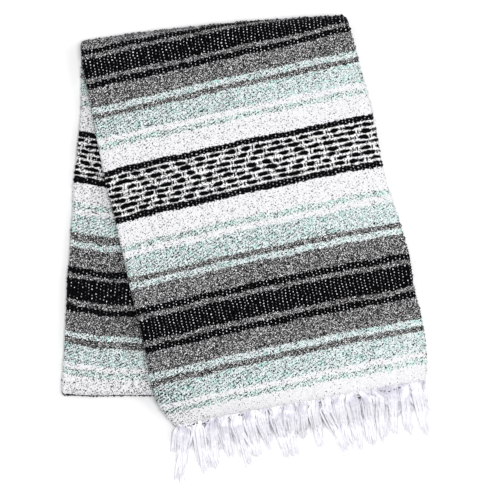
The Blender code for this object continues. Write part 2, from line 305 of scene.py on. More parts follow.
@dataclass(frozen=True)
class Crease:
    """A soft trough or ridge in the flaps."""

    x: float
    y: float
    bearing: float
    length: float
    width: float
    depth: float

    def lift(self, plan: Points) -> Points:
        """How far the crease lifts the cloth.

        Args:
            plan: Points in plan.

        Returns:
            The lift at each.
        """
        turn = math.radians(self.bearing)
        way = np.array([math.cos(turn), math.sin(turn)])
        off = plan - np.array([self.x, self.y])
        along, aside = off @ way, off @ np.array([-way[1], way[0]])
        aside = aside - 0.0006 * self.width * along * np.sin(along / 37.0)
        fade = np.exp(-((along / (self.length / 2)) ** 4))
        return self.depth * fade * np.exp(-((aside / self.width) ** 2))


@dataclass(frozen=True)
class Lie:
    """How the cloth settles: soft creases, slow swells and sides that aren't quite straight."""

    creases: tuple = (
        Crease(-60, 20, 15, 260, 11, -1.3),
        Crease(40, 128, 13, 210, 14, 1.1),
        Crease(-110, 150, 104, 120, 9, -0.9),
        Crease(95, -60, 98, 150, 12, 1.0),
        Crease(-20, -120, 21, 190, 16, -1.1),
        Crease(125, 60, 10, 120, 8, -0.8),
        Crease(10, 215, 16, 240, 13, -1.0),
        Crease(-85, -60, 108, 110, 10, 0.9),
        Crease(165, -110, 84, 100, 9, -0.9),
        Crease(-160, -110, 95, 130, 10, 0.8),
        Crease(-195, 60, 92, 150, 7, -0.7),
        Crease(60, -15, 28, 90, 7, 0.8),
    )
    hollows: tuple = (
        Crease(-120, 90, 20, 220, 12, 1.1),
        Crease(-40, -60, 8, 260, 15, 0.9),
        Crease(20, 150, 110, 130, 9, 0.8),
        Crease(-170, -90, 88, 110, 8, 1.0),
        Crease(150, -60, 100, 120, 10, 0.7),
        Crease(40, 10, 160, 150, 9, 0.8),
    )
    swell: float = 0.35
    sway: float = 0.7
    settled: float = 16.0
    hollow_high: float = 10.0
    lowest: float = 0.06

    def settle(self, points: Points) -> Points:
        """Moves points as the cloth settles, the surface under it staying flat.

        Args:
            points: Points in millimetres.

        Returns:
            The moved points.
        """
        x, y, z = points.T
        plan = points[:, :2]
        lift = sum(crease.lift(plan) for crease in self.creases)
        lift += self.swell * (np.sin(x / 19 + y / 31) * np.sin(y / 24 - x / 47 + 1.3))
        lift += self.swell * 0.7 * np.sin(x / 11 - y / 17 + 0.4) * np.sin(y / 13 + x / 29)
        hollow = sum(crease.lift(plan) for crease in self.hollows)
        rise = lift * np.clip(z / self.settled, 0, 1) + hollow * np.clip(1 - z / self.hollow_high, 0, 1)
        side = self.sway * (np.sin(y / 21 + 0.6) * 0.6 + np.sin(y / 9.5 + x / 60) * 0.4)
        end = self.sway * 0.5 * (np.sin(x / 18 + 2.1) * 0.6 + np.sin(x / 8.3) * 0.4)
        return np.column_stack([x + side, y + end, np.maximum(z + rise, self.lowest)])


@dataclass(frozen=True)
class StripeChart:
    """The order of the stripes, in millimetres from the middle of a wide black stripe.

    The order is a mirror about that middle and about the middle of the dashed band. The weaver's
    beat was uneven, so the stripes of the cloth are a little longer and shorter than the chart's:
    each run along the cloth has its place on the chart. The rear runs count from the bottom fold.
    """

    beat_run: tuple = (
        0, 17.3, 29.3, 52, 67, 92.3, 119.15, 132, 146, 169.8, 183.1, 207.2, 221.8, 248.7, 256.3,
        280.7, 305.5, 312.1, 337.2, 350.5, 374, 387.5, 410, 417, 422.5, 433, 443.5, 448.5, 455, 879,
    )
    beat_chart: tuple = (
        -117, -99.5, -86, -62.7, -49, -25, 0, 11.7, 25, 49, 62.7, 86, 99.5, 125.5, 132.7,
        157, 181.3, 188.5, 214.5, 228, 251.3, 265, 289, 296.3, 302.3, 314, 325.7, 331.7, 339, 758.6,
    )
    rear_run: tuple = (
        -12.6, 14.5, 22, 28.5, 49.5, 58.5, 63.7, 88.3, 94.8, 102.5, 126.3, 131.2, 138.4, 161.5,
        167.3, 177.5, 197.5, 203.5, 210.5, 231.8, 238.8, 280.7, 286.3, 866.4,
    )
    rear_chart: tuple = (
        758.6, 727.5, 721, 714, 690.7, 684, 677, 653, 645.7, 639.7, 616.3, 610.3, 603, 579,
        572, 565.3, 542, 535, 528.5, 502.5, 495.3, 446.7, 439.5, -117,
    )
    rear_lean: tuple = ((0, 2, 5, 14, 20, 28, 36, 45, 55, 65, 320),
                        (3, 2.5, 2.2, 0, -0.5, -1.5, -3, -4, -4.5, -5, -12))
    skew_run: tuple = (67, 96, 106, 131, 142, 176, 207, 350, 373, 388, 414, 440)
    skew: tuple = (0, 4, 3, 3.5, 2.3, 0.7, 0, 0, 1.5, 1.5, 2, 0)

    def read(self, run: Points, across: Points, length: float, width: float) -> Points:
        """Where the chart stands at points of the cloth.

        Args:
            run: The points' distances from the front hem.
            across: Their distances from the flap's left side.
            length: The cloth's length.
            width: The flap's width.

        Returns:
            Distances on the chart.
        """
        lean = np.interp(run, self.skew_run, self.skew) * (across / width - 0.5)
        front = np.interp(run - lean, self.beat_run, self.beat_chart)
        up = run - length / 2 + self.rear_run[0]
        lean = np.interp(across, *self.rear_lean) * np.clip(1 - up / self.rear_run[0], 0, 1)
        rear = np.interp(up - lean, self.rear_run, self.rear_chart)
        return np.where(run > length / 2, rear, front)


@dataclass
class Ribbon:
    """A stretch of cloth across its width: where it lies in the pack, and how it is turned."""

    across: list = field(default_factory=list)
    below: list = field(default_factory=list)
    out: list = field(default_factory=list)

    def add(self, across: float, below: float, out: tuple) -> None:
        """Adds a point.

        Args:
            across: Its distance from the left side.
            below: Its depth in the pack.
            out: The way out of the cloth there.
        """
        self.across.append(across)
        self.below.append(below)
        self.out.append(out)

    def layer(self, stops: Points, below: float, up: float) -> None:
        """Adds a flat layer through stops across the pack."""
        for stop in stops:
            self.add(float(stop), below, (0.0, up))

    def turn(self, centre: tuple, radius: float, side: float, start: float, steps: int) -> None:
        """Adds a side fold, as half a turn about a centre.

        Args:
            centre: The turn's centre, across and below.
            radius: The turn's radius.
            side: 1 where the fold stands out to the right, -1 to the left.
            start: 1 where it starts deeper than its centre, -1 where it starts higher.
            steps: How many points it has between its ends.
        """
        for turn in np.linspace(0, math.pi, steps + 2)[1:-1]:
            way = (side * math.sin(turn), start * math.cos(turn))
            facing = side * start
            self.add(centre[0] + radius * way[0], centre[1] + radius * way[1],
                     (way[0] * facing, way[1] * facing))

    def measured(self) -> Points:
        """The distance of each point from the first, along the cloth."""
        steps = np.hypot(np.diff(self.across), np.diff(self.below))
        return np.concatenate([[0.0], np.cumsum(steps)])


@dataclass
class Blanket:
    """The woven cloth, from its flat cut: the layer that shows all round, and the hidden layers."""

    flaps: Flaps = field(default_factory=Flaps)
    lie: Lie = field(default_factory=Lie)
    chart: StripeChart = field(default_factory=StripeChart)
    length: float = 1758.0
    pitch: float = 2.0
    thick: float = 1.7
    roll: float = 4.0
    tuck: float = 19.0
    tuck_middle: float = 9.0
    selvedge: tuple = (0.2, 1.6)
    hidden_right: float = 2.7
    hidden_left: float = 7.2
    tassels: int = 19
    scallop_deep: float = 2.2
    scallop_back: float = 0.5
    scallop_long: float = 6.0
    drawn_rows: float = 5.0
    pick: float = 3.55

    def first_edge(self) -> float:
        """The distance across of the selvedge that shows, from the roll on the left."""
        return self.flaps.width - self.selvedge[0]

    def tassel_pitch(self) -> float:
        """The distance between two tassels' places along a hem."""
        return (self.flaps.width - 2 * self.roll) / self.tassels

    def outer_ribbon(self) -> Ribbon:
        """The layer that shows, from its selvedge to where it tucks in under the left roll.

        Returns:
            The layer's ribbon.
        """
        ribbon = Ribbon()
        top = self.thick / 2
        pitch = self.tassel_pitch() / 4
        stops = self.roll + pitch * np.arange(4 * self.tassels + 1)[::-1]
        ribbon.layer([self.first_edge(), self.flaps.width - self.selvedge[1], *stops], top, -1.0)
        radius = 1.5 * self.pitch
        ribbon.turn((self.roll, top + radius), radius, -1.0, -1.0, 9)
        ribbon.layer([self.roll, self.tuck_middle, self.tuck], top + 2 * radius, 1.0)
        return ribbon

    def inner_ribbon(self) -> Ribbon:
        """The hidden layers, from there through two more side folds to the other selvedge.

        Returns:
            The layers' ribbon.
        """
        ribbon = Ribbon()
        top = self.thick / 2
        wide = self.flaps.width
        stops = np.array([*np.linspace(self.tuck, 250, 15), *np.linspace(256, wide - 7, 10)])
        left, side = self.hidden_left, wide - self.hidden_right
        ribbon.layer([*stops, side], top + 3 * self.pitch, 1.0)
        ribbon.turn((side, top + 2.5 * self.pitch), self.pitch / 2, 1.0, 1.0, 5)
        ribbon.layer([side, *stops[::-1], left], top + 2 * self.pitch, -1.0)
        ribbon.turn((left, top + 1.5 * self.pitch), self.pitch / 2, -1.0, 1.0, 4)
        ribbon.layer([left, *stops, wide - 3, wide - 1.3], top + self.pitch, 1.0)
        return ribbon

    def rows(self, fine: bool) -> list:
        """The rows of the cloth, hem to hem, closer together where it shows.

        Args:
            fine: Whether this is the layer that shows.

        Returns:
            Pairs of a stage and how far through it the row is.
        """
        sink = np.linspace(0, 0.16, 12 if fine else 9)
        front = np.array([*sink, *np.linspace(0.16, 1, 98 if fine else 22)[1:]])
        counts = {
            Stage.TOP_FOLD: 18 if fine else 10,
            Stage.REAR_UNDER: 34 if fine else 12,
            Stage.BOTTOM_FOLD: 14 if fine else 10,
            Stage.REAR_TOP: 84 if fine else 14,
            Stage.INNER_FOLD: 8,
        }
        rows = [(Stage.FRONT_TOP, share) for share in front]
        for stage, count in counts.items():
            rows += [(stage, share) for share in np.linspace(0, 1, count + 1)[1:]]
        return rows + [(Stage.FRONT_UNDER, 1 - share) for share in front[::-1][1:]]

    def scallop(self, across: Points, run: Points) -> Points:
        """How far the cloth is drawn out at its hems, towards each tassel.

        Args:
            across: Distances from the left side.
            run: Distances along the cloth.

        Returns:
            How far it is drawn out at each place.
        """
        arc = np.abs(np.cos(math.pi * (across - self.roll) / self.tassel_pitch()))
        near = np.minimum(run, self.length - run)
        uneven = 0.75 + 0.45 * np.sin(across / 21 + 0.8)
        deep = self.scallop_deep * (1 - arc) * uneven - self.scallop_back
        return deep * np.clip(1 - near / self.scallop_long, 0, 1)

    def surface(self, ribbon: Ribbon, rows: list, side: float) -> Points:
        """One face of the cloth.

        Args:
            ribbon: The stretch across its width.
            rows: The rows along it.
            side: 1 for its outer face, -1 for its inner one.

        Returns:
            Points by row and by place across.
        """
        out = np.array(ribbon.out) * self.thick / 2 * side
        across, below = np.array(ribbon.across) + out[:, 0], np.array(ribbon.below) + out[:, 1]
        faces = []
        for stage, share in rows:
            points = self.flaps.place(stage, share, across, below)
            run = self.flaps.run(stage, share, across, self.length)
            if np.minimum(run, self.length - run).min() < self.drawn_rows:
                low, high = (self.flaps.front_plan(across / self.flaps.width, 0 * across + up)
                             for up in (0, 4))
                points[:, :2] += unit(low - high) * self.scallop(across, run)[:, None]
            faces.append(self.lie.settle(points))
        return np.array(faces)

    def make(self, name: str, ribbon: Ribbon, rows: list, start: float) -> bpy.types.Object:
        """Makes a stretch of cloth as a closed shell.

        Args:
            name: The piece's name.
            ribbon: The stretch across its width.
            rows: The rows along it.
            start: Its first edge's distance across the flat cloth, from the roll that shows.

        Returns:
            The piece.
        """
        outer, inner = self.surface(ribbon, rows, 1.0), self.surface(ribbon, rows, -1.0)
        deep, wide = outer.shape[:2]
        points = np.concatenate([outer.reshape(-1, 3), inner.reshape(-1, 3)])
        at = np.arange(deep * wide).reshape(deep, wide)
        low = at + deep * wide
        faces = [
            np.stack([at[:-1, :-1], at[1:, :-1], at[1:, 1:], at[:-1, 1:]], -1),
            np.stack([low[:-1, :-1], low[:-1, 1:], low[1:, 1:], low[1:, :-1]], -1),
            np.stack([at[:-1, 0], low[:-1, 0], low[1:, 0], at[1:, 0]], -1),
            np.stack([at[:-1, -1], at[1:, -1], low[1:, -1], low[:-1, -1]], -1),
            np.stack([at[0, :-1], at[0, 1:], low[0, 1:], low[0, :-1]], -1),
            np.stack([at[-1, :-1], low[-1, :-1], low[-1, 1:], at[-1, 1:]], -1),
        ]
        flat = start - ribbon.measured()
        across = np.array(ribbon.across)
        runs = np.array([self.flaps.run(stage, share, across, self.length) for stage, share in rows])
        cloth = np.stack([np.broadcast_to(flat, runs.shape), runs], -1).reshape(-1, 2)
        chart = self.chart.read(runs, across, self.length, self.flaps.width).reshape(-1)
        piece = meshed(name, points, np.concatenate([side.reshape(-1, 4) for side in faces]).tolist())
        choose(piece)
        face_out()
        spread(piece, "cloth", np.tile(cloth, (2, 1)))
        spread(piece, "stripes", np.tile(np.column_stack([chart, 0 * chart]), (2, 1)))
        return piece


def meshed(name: str, points: Points, faces: list) -> bpy.types.Object:
    """Makes a smooth piece and puts it in the scene.

    Args:
        name: The piece's name.
        points: Its points, in millimetres.
        faces: Its faces, as lists of their corners.

    Returns:
        The piece.
    """
    data = bpy.data.meshes.new(name)
    data.from_pydata((points * MM).tolist(), [], faces)
    data.shade_smooth()
    piece = bpy.data.objects.new(name, data)
    bpy.context.scene.collection.objects.link(piece)
    return piece


def face_out() -> None:
    """Turns the active piece's faces outwards, and ends its editing."""
    bpy.ops.object.mode_set(mode="EDIT")
    bpy.ops.mesh.select_all(action="SELECT")
    bpy.ops.mesh.normals_make_consistent(inside=False)
    bpy.ops.object.mode_set(mode="OBJECT")


def choose(piece: bpy.types.Object) -> None:
    """Selects one piece alone and makes it active.

    Args:
        piece: The piece.
    """
    bpy.ops.object.select_all(action="DESELECT")
    piece.select_set(True)
    bpy.context.view_layer.objects.active = piece


def spread(piece: bpy.types.Object, name: str, values: Points) -> None:
    """Gives a piece a UV map, in metres.

    Args:
        piece: The piece.
        name: The map's name.
        values: A pair of millimetres for each of its points.
    """
    layer = piece.data.uv_layers.new(name=name)
    corners = np.zeros(len(piece.data.loops), int)
    piece.data.loops.foreach_get("vertex_index", corners)
    layer.data.foreach_set("uv", (values[corners] * MM).astype(np.float32).ravel())


def colour(code: str) -> tuple:
    """Turns an sRGB hex value into a linear colour.

    Args:
        code: The six hex digits.

    Returns:
        Red, green, blue and an alpha of 1.
    """
    parts = [int(code[i:i + 2], 16) / 255 for i in (0, 2, 4)]
    linear = [part / 12.92 if part <= 0.04045 else ((part + 0.055) / 1.055) ** 2.4 for part in parts]
    return (*linear, 1.0)


def add_node(tree: bpy.types.NodeTree, kind: str, links: dict, **settings) -> bpy.types.Node:
    """Adds a node with its settings and links.

    Args:
        tree: The material's or the world's tree.
        kind: The node's kind, without its prefix.
        links: What goes into each socket, by its index or name: another socket or a value.
        settings: The node's own settings.

    Returns:
        The node.
    """
    made = tree.nodes.new("ShaderNode" + kind)
    for name, value in settings.items():
        setattr(made, name, value)
    for key, value in links.items():
        if isinstance(value, bpy.types.NodeSocket):
            tree.links.new(value, made.inputs[key])
        else:
            made.inputs[key].default_value = value
    return made


def wired(name: str, finish: dict) -> tuple:
    """Makes a material with constants on its shader.

    Args:
        name: The material's name.
        finish: Values by the shader's sockets.

    Returns:
        The material, its wiring and its shader.
    """
    material = bpy.data.materials.new(name)
    material.use_nodes = True
    shader = material.node_tree.nodes["Principled BSDF"]
    for socket, value in finish.items():
        shader.inputs[socket].default_value = value
    return material, Wiring(material.node_tree), shader


@dataclass(frozen=True)
class Wiring:
    """A material's nodes, with short ways to add the kinds that come up most."""

    tree: bpy.types.NodeTree

    def uv(self, name: str) -> Socket:
        """Adds a UV map by its name."""
        return add_node(self.tree, "UVMap", {}, uv_map=name).outputs[0]

    def math(self, operation: str, *values) -> Socket:
        """Adds a sum of one to three numbers, and gives its result."""
        return add_node(self.tree, "Math", dict(enumerate(values)), operation=operation).outputs[0]

    def vector(self, operation: str, *values) -> Socket:
        """Adds a sum of vectors, and gives its vector, or its number where it makes one."""
        made = add_node(self.tree, "VectorMath", dict(enumerate(values)), operation=operation)
        return made.outputs[1 if operation in ("DOT_PRODUCT", "LENGTH") else 0]

    def ranged(self, value: Socket, start: float, end: float, low: float = 0.0,
               high: float = 1.0, **settings) -> Socket:
        """Turns the range from start to end of a number into low to high, and stops there."""
        links = {0: value, 1: start, 2: end, 3: low, 4: high}
        return add_node(self.tree, "MapRange", links, **settings).outputs[0]

    def noise(self, place: Socket, scale: float, detail: float = 1.0, rough: float = 0.5) -> Sockets:
        """Adds soft noise, and gives its number and its colour."""
        links = {"Vector": place, "Scale": scale, "Detail": detail, "Roughness": rough}
        return add_node(self.tree, "TexNoise", links).outputs

    def clumps(self, place: Socket, scale: float) -> Sockets:
        """Adds cells of chance on a flat map.

        Args:
            place: The place on the map.
            scale: How many cells there are in a millimetre.

        Returns:
            Three numbers of chance for each cell.
        """
        links = {"Vector": place, "Scale": scale}
        cells = add_node(self.tree, "TexVoronoi", links, voronoi_dimensions="2D")
        return add_node(self.tree, "SeparateColor", {0: cells.outputs["Color"]}).outputs

    def joined(self, x: Socket, y: Socket) -> Socket:
        """Makes a flat vector of two numbers."""
        return add_node(self.tree, "CombineXYZ", {0: x, 1: y}).outputs[0]

    def parts(self, vector: Socket) -> Sockets:
        """Splits a vector in its three numbers."""
        return add_node(self.tree, "SeparateXYZ", {0: vector}).outputs

    def painted(self, share: Socket, under: Socket, code: str) -> Socket:
        """Lays a colour over another, by a share from 0 to 1."""
        links = {0: share, 6: under, 7: colour(code)}
        return add_node(self.tree, "Mix", links, data_type="RGBA").outputs[2]


@dataclass(frozen=True)
class Weave:
    """What the weave's parts read: places on the flat cloth, in millimetres, and its yarns."""

    wire: Wiring
    cloth: Socket
    across: Socket
    run: Socket
    chart: Socket
    place: Socket
    fibres: Sockets
    gaps: Socket
    stray: Sockets
    rear: Socket


@dataclass(frozen=True)
class StripedWeave:
    """The stripes of the cloth: a weft-faced plain weave of cotton and acrylic yarn.

    Thick soft weft hides most of the warp, which peeps out in every second gap: as dark flecks in
    the pale stripes, and as white dots in the black ones. Every stripe is heathered. To the eye the
    cloth is matt and grainy, with ribs of round picks.

    Each habit says from where on the chart a stripe shows how much dark warp, how much white warp
    and how strong a heather, and whether it has tufts of stronger dye.
    """

    name: str = "striped_woven_cotton_acrylic"
    half: float = 157.0
    warp: float = 4.385
    pick: float = 1.775
    stripes: tuple = (
        (0.0, "020203"), (11.7, "353535"), (17.7, "020203"), (25.0, "353535"), (49.0, "D9E1E1"),
        (56.0, "353535"), (62.7, "D6E0DF"), (86.0, "E6E6E8"), (93.0, "D8E2E0"), (99.5, "E6E6E8"),
        (125.5, "020203"), (132.7, "F0F0F0"),
    )
    habits: tuple = (
        (0.0, (0.0, 1.0, 0.3), 0.0), (11.7, (0.1, 0.3, 1.0), 0.0), (17.7, (0.0, 1.0, 0.3), 0.0),
        (25.0, (0.1, 0.3, 1.0), 0.0), (49.0, (0.95, 0.0, 0.1), 1.0),
        (56.0, (0.1, 0.25, 1.0), 0.0), (62.7, (1.0, 0.0, 0.1), 1.0), (86.0, (0.36, 0.0, 0.045), 0.1),
        (93.0, (1.0, 0.0, 0.1), 1.0), (99.5, (0.36, 0.0, 0.045), 0.0), (125.5, (0.0, 0.7, 0.3), 0.0),
        (132.7, (0.8, 0.0, 0.02), 0.0),
    )
    black: str = "020203"
    tufts: str = "93D6C8"
    red: str = "8E3B44"
    dark_warp: str = "141619"
    white_warp: str = "F2F2F6"
    clump_scale: float = 1.15
    heather_scale: float = 1.4
    heather_reach: float = 34.0
    dot_wide: float = 0.54
    dot_high: float = 0.74
    rear_starts: tuple = (870.0, 880.0)
    most_bare: float = 1.12
    band_starts: float = 132.7
    band_row: float = 6.55
    band_half_repeat: float = 8.8
    band_step: float = 4.4
    band_shift: float = 12.6
    band_turns: tuple = (20.0, 90.0)
    float_half: float = 7.0
    float_high: float = 2.35

    def ramp(self, tree: bpy.types.NodeTree, place: Socket, stops: tuple) -> Sockets:
        """Adds a ramp of stripes that don't blend.

        Args:
            tree: The material's tree.
            place: The place on the chart, in millimetres from its middle.
            stops: Where each stripe starts, and its colour with an alpha.

        Returns:
            The ramp's colour and alpha.
        """
        share = Wiring(tree).math("DIVIDE", place, self.half)
        ramp = add_node(tree, "ValToRGB", {0: share})
        ramp.color_ramp.interpolation = "CONSTANT"
        elements = ramp.color_ramp.elements
        for start, shade in stops[2:]:
            elements.new(start / self.half).color = shade
        for element, (start, shade) in zip(list(elements), stops):
            element.position, element.color = start / self.half, shade
        return ramp.outputs

    def begun(self, wire: Wiring) -> Weave:
        """Reads the cloth's flat map and its chart, and lays out its yarns.

        Args:
            wire: The material's wiring.

        Returns:
            What the parts of the weave read.
        """
        cloth = wire.vector("MULTIPLY", wire.uv("cloth"), (1000.0, 1000.0, 1000.0))
        across, run = wire.parts(cloth)[:2]
        chart = wire.math("MULTIPLY", wire.parts(wire.uv("stripes"))[0], 1000.0)

        # Uneven beating: the borders wander by a millimetre over a hand's width, and step by a
        # fraction of that at each warp thread.
        slow = wire.ranged(wire.noise(cloth, 0.03)[0], 0.0, 1.0, -2.2, 2.2)
        quick = wire.ranged(wire.noise(cloth, 0.4)[0], 0.0, 1.0, -3.0, 3.0)
        chart = wire.math("ADD", chart, slow)
        place = wire.math("PINGPONG", wire.math("ADD", chart, quick), self.half)
        falling = (1 / self.warp / 2, -1 / self.pick / 2, 0.0)
        return Weave(
            wire=wire, cloth=cloth, across=across, run=run, chart=chart, place=place,
            fibres=wire.clumps(cloth, self.clump_scale),
            gaps=wire.vector("DOT_PRODUCT", cloth, falling),
            stray=wire.noise(cloth, 0.12, 2.0),
            rear=wire.ranged(run, *self.rear_starts),
        )

    def heather(self, weave: Weave, strong: Socket) -> Socket:
        """Fibres of several shades carded together, 0.7 mm across.

        Args:
            weave: What the parts of the weave read.
            strong: How strong a stripe's heather is.

        Returns:
            How bright each is, about 1.
        """
        wire = weave.wire
        shades = wire.ranged(wire.clumps(weave.cloth, self.heather_scale)[0], 0.0, 1.0, -1.0, 1.0)
        return wire.math("POWER", self.heather_reach, wire.math("MULTIPLY", shades, strong))

    def flecks(self, weave: Weave, bare: Socket) -> Socket:
        """Dark flecks of warp, more of them along the lines of gaps.

        They show more on the rear flap and more towards its covered side, where the extra flecks also
        paint the shade next to the front flap's edge, and in the front flap's corner.

        Args:
            weave: What the parts of the weave read.
            bare: How much dark warp a stripe shows.

        Returns:
            How much of a fleck is at each place.
        """
        wire, across, run = weave.wire, weave.across, weave.run
        # More flecks towards the rear flap's covered side: partly grain, partly painted shade next to
        # the front flap's edge
        side = wire.ranged(across, 5.0, 105.0, 0.15, 0.45)
        bare = wire.math("MULTIPLY_ADD", weave.rear, side, bare)
        bare = wire.math("MULTIPLY", bare, wire.ranged(run, 14.0, 19.0, 0.4))
        bare = wire.math("MULTIPLY", bare, wire.ranged(across, 60.0, 310.0, self.most_bare, 0.7))
        bare = wire.math("MINIMUM", bare, self.most_bare)
        low = wire.ranged(run, 45.0, 80.0, 0.4, 0.0)
        corner = wire.ranged(across, 5.0, 60.0, 1.0, 0.0)
        bare = wire.math("MULTIPLY_ADD", low, corner, bare)
        line = wire.math("COSINE", wire.math("MULTIPLY", weave.gaps, 2 * math.pi))
        chance = wire.math("MULTIPLY", wire.math("MULTIPLY_ADD", line, 0.14, 0.33), bare)
        return wire.ranged(wire.math("SUBTRACT", chance, weave.fibres[1]), 0.0, 0.04, 0.0, 0.95)

    def dashes(self, weave: Weave) -> Socket:
        """The dashed band: seven rows of long black floats, with a small block in each space.

        Each row is a step on from the last. The steps turn back every 90 mm and at the mid row.

        Args:
            weave: What the parts of the weave read.

        Returns:
            How much of a dash is at each place.
        """
        wire = weave.wire
        band = wire.math("GREATER_THAN", weave.place, self.band_starts)
        smooth = wire.math("PINGPONG", weave.chart, self.half)
        row = wire.math("DIVIDE", wire.math("SUBTRACT", self.half, smooth), self.band_row)
        count = wire.math("ROUND", row)
        off_row = wire.math("SUBTRACT", row, count)
        turned = wire.math("SUBTRACT", weave.across, self.band_turns[0])
        turned = wire.math("PINGPONG", turned, self.band_turns[1])
        step = wire.math("MULTIPLY_ADD", count, self.band_step, turned)
        step = wire.math("SUBTRACT", step, self.band_shift)
        phase = wire.math("WRAP", step, self.band_half_repeat, -self.band_half_repeat)
        phase = wire.math("ABSOLUTE", phase)
        wide = wire.math("POWER", wire.math("DIVIDE", phase, self.float_half), 3.0)
        high = wire.math("MULTIPLY", off_row, self.band_row / self.float_high)
        high = wire.math("ABSOLUTE", high)
        lens = wire.math("MULTIPLY_ADD", high, high, wide)
        carded = wire.ranged(weave.fibres[0], 0.0, 1.0, -1.0, 1.0)
        lens = wire.math("MULTIPLY_ADD", carded, 0.5, lens)
        uneven = wire.ranged(wire.noise(weave.cloth, 0.11)[0], 0.3, 0.7, -0.75, 0.75)
        lens = wire.ranged(wire.math("ADD", lens, uneven), 0.95, 1.2, 1.0, 0.0)
        block = wire.ranged(phase, 7.7, 8.0)
        block = wire.math("MULTIPLY", block, wire.ranged(high, 0.8, 1.0, 1.0, 0.0))
        return wire.math("MULTIPLY", wire.math("MAXIMUM", lens, block), band)

    def dots(self, weave: Weave, white: Socket) -> Socket:
        """White dots of warp in the black, bright in some places and sunk in others.

        They stand in the gaps between picks, each second one along the cloth and across it.

        Args:
            weave: What the parts of the weave read.
            white: How much white warp a stripe shows.

        Returns:
            How bright a dot is at each place.
        """
        wire = weave.wire
        rise = wire.vector("DOT_PRODUCT", weave.cloth, (1 / self.warp / 2, 1 / self.pick / 2, 0.0))
        grid = wire.joined(weave.gaps, rise)
        grid = wire.vector("MULTIPLY_ADD", weave.stray["Color"], (0.9, 0.9, 0.0), grid)
        luck = add_node(wire.tree, "TexWhiteNoise", {"Vector": wire.vector("FLOOR", grid)},
                        noise_dimensions="2D").outputs["Value"]
        inside = wire.vector("SUBTRACT", wire.vector("FRACTION", grid), (0.5, 0.5, 0.0))
        along, aside = self.warp / self.dot_wide, self.pick / self.dot_high
        off = wire.joined(wire.vector("DOT_PRODUCT", inside, (along, along, 0.0)),
                          wire.vector("DOT_PRODUCT", inside, (-aside, aside, 0.0)))
        dot = wire.ranged(wire.vector("LENGTH", off), 0.6, 1.2, 1.0, 0.0,
                          interpolation_type="SMOOTHSTEP")
        rarer = wire.math("MULTIPLY_ADD", weave.rear, 1.6, 1.0)
        bright = wire.math("MULTIPLY", wire.math("POWER", luck, rarer), white)
        sunk = wire.ranged(weave.stray[0], 0.36, 0.66, 0.45, 2.0)
        return wire.math("MULTIPLY", wire.math("MULTIPLY", bright, sunk), dot)

    def relief(self, weave: Weave, fleck: Socket) -> Socket:
        """Round picks that dip where the warp holds them, and a hairy nap.

        Args:
            weave: What the parts of the weave read.
            fleck: How much of a fleck is at each place.

        Returns:
            The way that the cloth faces.
        """
        wire = weave.wire
        nap = wire.noise(weave.cloth, 0.8, 3.0)[0]
        pick = wire.math("SINE", wire.math("MULTIPLY", weave.run, math.pi / self.pick))
        pick = wire.math("MULTIPLY_ADD", wire.math("ABSOLUTE", pick), 0.5, nap)
        height = wire.math("MULTIPLY_ADD", fleck, -0.5, pick)
        links = {"Strength": 0.5, "Distance": 0.0005, "Height": height}
        return add_node(wire.tree, "Bump", links).outputs[0]

    def make(self) -> bpy.types.Material:
        """Makes the material.

        Returns:
            The material.
        """
        material, wire, shader = wired(self.name, {
            "Roughness": 0.93, "Specular IOR Level": 0.06, "Sheen Weight": 0.02,
            "Sheen Roughness": 0.5,
        })
        tree, weave = wire.tree, self.begun(wire)
        dyed = self.ramp(tree, weave.place, tuple((s, colour(c)) for s, c in self.stripes))
        habit = self.ramp(tree, weave.place, tuple((s, (*c, a)) for s, c, a in self.habits))
        bare, white, strong = add_node(tree, "SeparateColor", {0: habit[0]}).outputs[:3]

        # Tufts of stronger dye in the pale green
        tuft = wire.ranged(wire.noise(weave.cloth, 0.13, 3.0, 0.7)[0], 0.5, 0.78)
        base = wire.painted(wire.math("MULTIPLY", tuft, habit[1]), dyed[0], self.tufts)
        dash = self.dashes(weave)
        base = wire.painted(dash, base, self.black)
        shade = self.heather(weave, strong)
        base = add_node(tree, "HueSaturation", {"Color": base, "Value": shade}).outputs[0]

        # A rare red fibre in the grey
        red = wire.ranged(wire.noise(weave.cloth, 0.15, 3.0)[0], 0.71, 0.74)
        red = wire.math("MULTIPLY", red, wire.math("GREATER_THAN", strong, 0.8))
        base = wire.painted(red, base, self.red)
        fleck = self.flecks(weave, bare)
        seen = wire.math("MULTIPLY", fleck, wire.math("SUBTRACT", 1.0, dash))
        base = wire.painted(seen, base, self.dark_warp)
        base = wire.painted(self.dots(weave, white), base, self.white_warp)
        tree.links.new(base, shader.inputs["Base Color"])
        tree.links.new(self.relief(weave, fleck), shader.inputs["Normal"])
        return material


